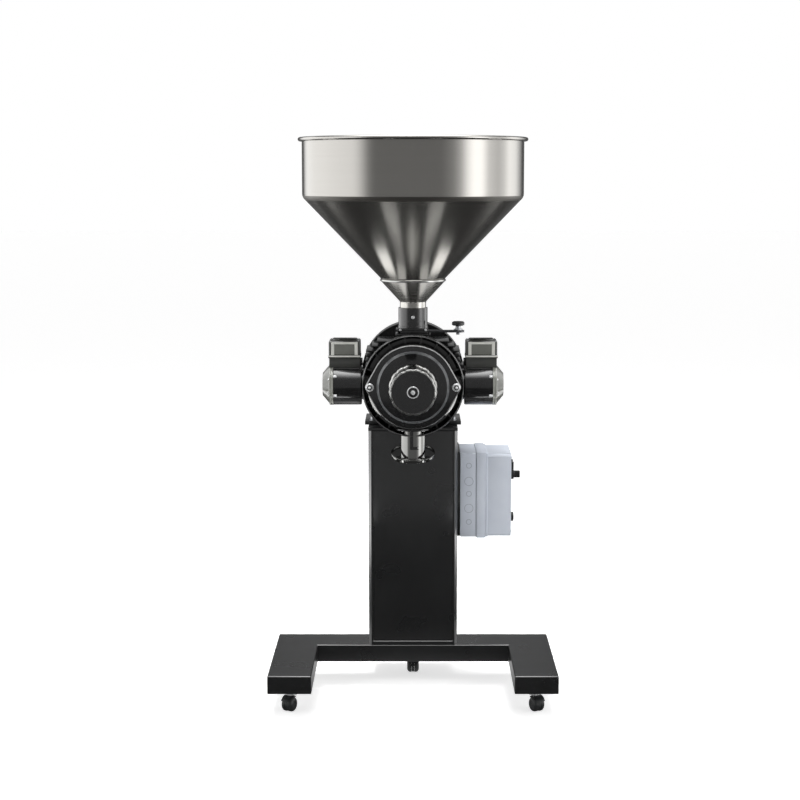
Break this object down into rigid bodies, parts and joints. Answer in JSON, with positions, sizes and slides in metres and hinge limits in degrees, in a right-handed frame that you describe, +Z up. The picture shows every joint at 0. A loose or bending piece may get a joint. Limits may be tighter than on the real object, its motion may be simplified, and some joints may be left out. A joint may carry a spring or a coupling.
{
  "type": "industrial coffee grinder",
  "caption": "Floor-standing industrial coffee grinder: stainless hopper over a motor-driven disc mill with grind setting, outlet spout and bag ring, on a wheeled stand.",
  "frame": {"origin": "on the floor, at the centre of the bounding box; the hopper, the motor and the column are centred on it from side to side", "axes": "+Z up along the hopper's axis; -Y towards the front, where the grind setting knob and the spout are; +X towards the control enclosure"},
  "size_m": [0.777, 0.6286, 1.538],
  "materials": {
    "black_powder_coat": "fine black powder coat, satin",
    "black_enamel": "glossy black enamel over casting",
    "cast_aluminium": "cast, painted dark",
    "machined_steel": "machined",
    "brushed_stainless": "spun and brushed stainless sheet",
    "polished_stainless": "polished stainless",
    "zinc_plate": "bright zinc plate",
    "wheel_rubber": "dark moulded wheel",
    "black_plastic": "satin moulded plastic",
    "grey_plastic": "light grey moulded enclosure",
    "copper_winding": "lacquered winding",
    "green_plastic": "gloss moulded plastic"
  },
  "bodies": {
    "frame": {"base_crossbar": "black_powder_coat", "base_leg_left": "black_powder_coat", "base_leg_right": "black_powder_coat", "column_shell": "black_powder_coat", "column_cover": "black_powder_coat", "control_bracket": "black_powder_coat", "fan_cowl": "black_enamel", "grinding_chamber": "black_enamel", "front_door": "black_enamel", "gate_housing": "black_enamel", "inlet_socket": "black_enamel", "side_motor_housing_left": "black_enamel", "side_motor_housing_right": "black_enamel", "side_motor_cap_left": "black_enamel", "side_motor_cap_right": "black_enamel", "terminal_base_left": "black_enamel", "terminal_base_right": "black_enamel", "terminal_lid_left": "black_enamel", "terminal_lid_right": "black_enamel", "motor_body": "cast_aluminium", "motor_front_shield": "cast_aluminium", "motor_rear_shield": "cast_aluminium", "motor_terminal_box": "cast_aluminium", "motor_bearing_front": "machined_steel", "motor_bearing_rear": "machined_steel", "door_stud_left": "machined_steel", "door_stud_right": "machined_steel", "hopper_shell": "brushed_stainless", "hopper_funnel": "brushed_stainless", "outlet_nozzle": "polished_stainless", "caster_stem_left": "zinc_plate", "caster_stem_right": "zinc_plate", "caster_stem_rear": "zinc_plate", "switch_plate": "black_plastic", "button_collar": "black_plastic", "control_box": "grey_plastic", "control_lid": "grey_plastic", "motor_stator": "copper_winding"},
    "caster_left": {"caster_hood_left": "zinc_plate"},
    "caster_right": {"caster_hood_right": "zinc_plate"},
    "caster_rear": {"caster_hood_rear": "zinc_plate"},
    "wheel_left": {"caster_wheel_left": "wheel_rubber"},
    "wheel_right": {"caster_wheel_right": "wheel_rubber"},
    "wheel_rear": {"caster_wheel_rear": "wheel_rubber"},
    "drive": {"drive_shaft": "machined_steel", "rotating_disc": "machined_steel", "feed_screw": "machined_steel", "cooling_fan": "black_plastic"},
    "side_rotor_left": {"side_motor_rotor_left": "machined_steel"},
    "side_rotor_right": {"side_motor_rotor_right": "machined_steel"},
    "setting": {"adjusting_knob": "polished_stainless", "adjusting_spindle": "machined_steel"},
    "carrier": {"disc_carrier": "machined_steel", "fixed_disc": "machined_steel"},
    "gate": {"gate_slide": "machined_steel", "gate_knob": "black_plastic"},
    "sleeve": {"outlet_sleeve": "polished_stainless"},
    "bag_ring": {"bag_ring": "polished_stainless"},
    "switch": {"switch_knob": "black_plastic"},
    "button": {"push_button": "green_plastic"}
  },
  "joints": [
    {"name": "caster_left_swivel", "type": "hinge", "parent": "frame", "child": "caster_left", "pos_m": [-0.32975, -0.238, 0.055], "axis": [0, 0, 1], "continuous": true},
    {"name": "caster_left_roll", "type": "hinge", "parent": "caster_left", "child": "wheel_left", "pos_m": [-0.33398, -0.24706, 0.02], "axis": [0.9063, -0.4226, 0], "continuous": true},
    {"name": "caster_right_swivel", "type": "hinge", "parent": "frame", "child": "caster_right", "pos_m": [0.32975, -0.238, 0.055], "axis": [0, 0, 1], "continuous": true},
    {"name": "caster_right_roll", "type": "hinge", "parent": "caster_right", "child": "wheel_right", "pos_m": [0.33398, -0.24706, 0.02], "axis": [0.9063, 0.4226, 0], "continuous": true},
    {"name": "caster_rear_swivel", "type": "hinge", "parent": "frame", "child": "caster_rear", "pos_m": [0, 0.13, 0.055], "axis": [0, 0, 1], "continuous": true},
    {"name": "caster_rear_roll", "type": "hinge", "parent": "caster_rear", "child": "wheel_rear", "pos_m": [0, 0.12, 0.02], "axis": [1, 0, 0], "continuous": true},
    {"name": "drive_spin", "type": "hinge", "parent": "frame", "child": "drive", "pos_m": [0, 0.1, 0.866], "axis": [0, 1, 0], "continuous": true},
    {"name": "side_rotor_left_spin", "type": "hinge", "parent": "frame", "child": "side_rotor_left", "pos_m": [0, -0.048, 0.866], "axis": [1, 0, 0], "continuous": true},
    {"name": "side_rotor_right_spin", "type": "hinge", "parent": "frame", "child": "side_rotor_right", "pos_m": [0, -0.048, 0.866], "axis": [1, 0, 0], "continuous": true},
    {"name": "grind_setting", "type": "hinge", "parent": "frame", "child": "setting", "pos_m": [0, -0.19, 0.866], "axis": [0, -1, 0], "range_deg": [0, 330]},
    {"name": "disc_gap", "type": "slide", "parent": "frame", "child": "carrier", "axis": [0, -1, 0], "range_m": [0, 0.002]},
    {"name": "gate_pull", "type": "slide", "parent": "frame", "child": "gate", "axis": [1, 0, 0], "range_m": [0, 0.064]},
    {"name": "sleeve_twist", "type": "hinge", "parent": "frame", "child": "sleeve", "pos_m": [0, -0.068, 0.7], "axis": [0, 0, 1], "range_deg": [0, 27.5]},
    {"name": "bag_ring_tilt", "type": "hinge", "parent": "sleeve", "child": "bag_ring", "pos_m": [0, -0.02253, 0.6904], "axis": [1, 0, 0], "range_deg": [-30, 0]},
    {"name": "switch_turn", "type": "hinge", "parent": "frame", "child": "switch", "pos_m": [0.29, 0.135, 0.5826], "axis": [1, 0, 0], "range_deg": [0, 90]},
    {"name": "button_press", "type": "slide", "parent": "frame", "child": "button", "axis": [-1, 0, 0], "range_m": [0, 0.003], "stiffness_N_per_m": 500, "springref_m": -0.002}
  ],
  "couplings": [
    {"joint": "disc_gap", "follows": "grind_setting", "m_per_rad": 0.00031831}
  ]
}
